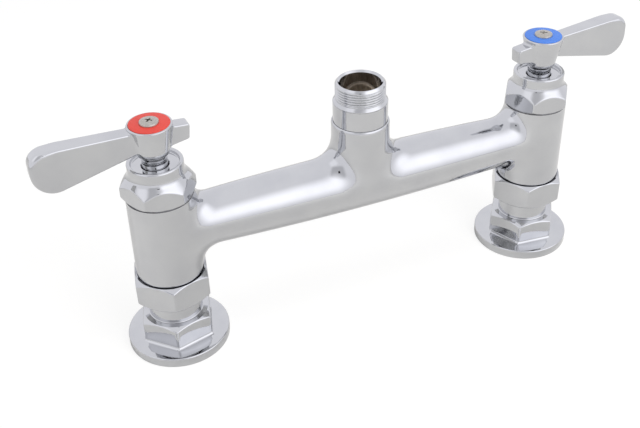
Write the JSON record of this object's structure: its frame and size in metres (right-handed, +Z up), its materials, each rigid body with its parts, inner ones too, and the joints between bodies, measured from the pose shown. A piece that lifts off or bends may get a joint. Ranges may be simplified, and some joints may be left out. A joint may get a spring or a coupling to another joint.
{
  "type": "deck-mount faucet",
  "caption": "Deck-mount mixing faucet base: cross-tube body with lever-handled quarter-turn valves, union nuts, round deck flanges and a threaded spout outlet.",
  "frame": {"origin": "on the deck plane, midway between the axes of the hot and cold inlets", "axes": "+Z up along the spout outlet, +X from the hot valve towards the cold valve, -Y towards the user"},
  "size_m": [0.3099, 0.051, 0.1249],
  "materials": {
    "chrome": "polished chrome plate on cast and turned brass",
    "brass": "turned brass",
    "steel": "plain stainless steel",
    "ceramic": "lapped alumina ceramic",
    "rubber": "black nitrile rubber",
    "fibre": "pressed fibre washer",
    "index_red": "red moulded index disc",
    "index_blue": "blue moulded index disc"
  },
  "bodies": {
    "faucet": {"faucet_body": "chrome", "spout_outlet_sleeve": "chrome", "outlet_sealing_ring": "rubber", "hot_inlet_flange": "chrome", "hot_union_washer": "fibre", "hot_coupling_nut": "chrome", "hot_retaining_ring": "steel", "hot_seat_seal": "rubber", "hot_fixed_disc": "ceramic", "hot_cartridge": "brass", "hot_cartridge_ring": "rubber", "hot_bonnet_gasket": "fibre", "hot_bonnet": "chrome", "cold_inlet_flange": "chrome", "cold_union_washer": "fibre", "cold_coupling_nut": "chrome", "cold_retaining_ring": "steel", "cold_seat_seal": "rubber", "cold_fixed_disc": "ceramic", "cold_cartridge": "brass", "cold_cartridge_ring": "rubber", "cold_bonnet_gasket": "fibre", "cold_bonnet": "chrome"},
    "hot_valve": {"hot_moving_disc": "ceramic", "hot_spindle": "brass", "hot_spindle_rings": "rubber", "hot_spindle_clip": "steel", "hot_handle": "chrome", "hot_index_disc": "index_red", "hot_handle_screw": "steel"},
    "cold_valve": {"cold_moving_disc": "ceramic", "cold_spindle": "brass", "cold_spindle_rings": "rubber", "cold_spindle_clip": "steel", "cold_handle": "chrome", "cold_index_disc": "index_blue", "cold_handle_screw": "steel"}
  },
  "joints": [
    {"name": "hot_handle_turn", "type": "hinge", "parent": "faucet", "child": "hot_valve", "pos_m": [-0.1016, 0, 0.1042], "axis": [0, 0, 1], "range_deg": [0, 90]},
    {"name": "cold_handle_turn", "type": "hinge", "parent": "faucet", "child": "cold_valve", "pos_m": [0.1016, 0, 0.1042], "axis": [0, 0, 1], "range_deg": [-90, 0]}
  ]
}
